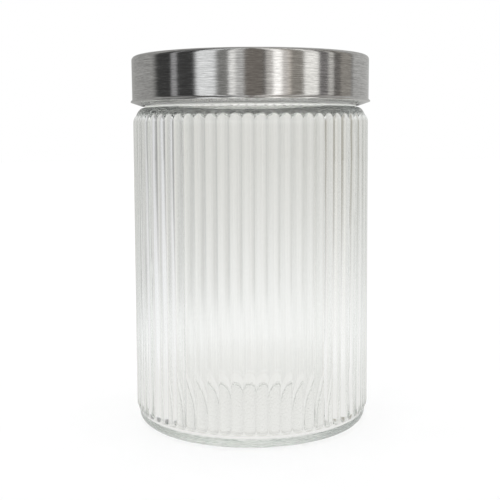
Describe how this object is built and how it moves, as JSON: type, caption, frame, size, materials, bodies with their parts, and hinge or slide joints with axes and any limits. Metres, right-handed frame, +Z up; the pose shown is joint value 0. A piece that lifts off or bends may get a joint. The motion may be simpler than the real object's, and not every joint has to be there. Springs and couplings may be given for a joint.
{
  "type": "glass storage jar",
  "caption": "Clear ribbed glass storage jar with a rounded heel and shoulder, closed by a brushed stainless steel lid with a white plastic liner.",
  "frame": {"origin": "centre of the circle that the jar stands on", "axes": "+Z up along the jar's axis, from the base to the lid"},
  "size_m": [0.107, 0.107, 0.1632],
  "materials": {
    "clear_glass": "clear polished, faint green tint",
    "brushed_steel": "fine circumferential brushing",
    "white_plastic": "satin off-white"
  },
  "bodies": {
    "root": {"glass_jar": "clear_glass", "lid": "brushed_steel", "lid_liner": "white_plastic"}
  },
  "joints": []
}
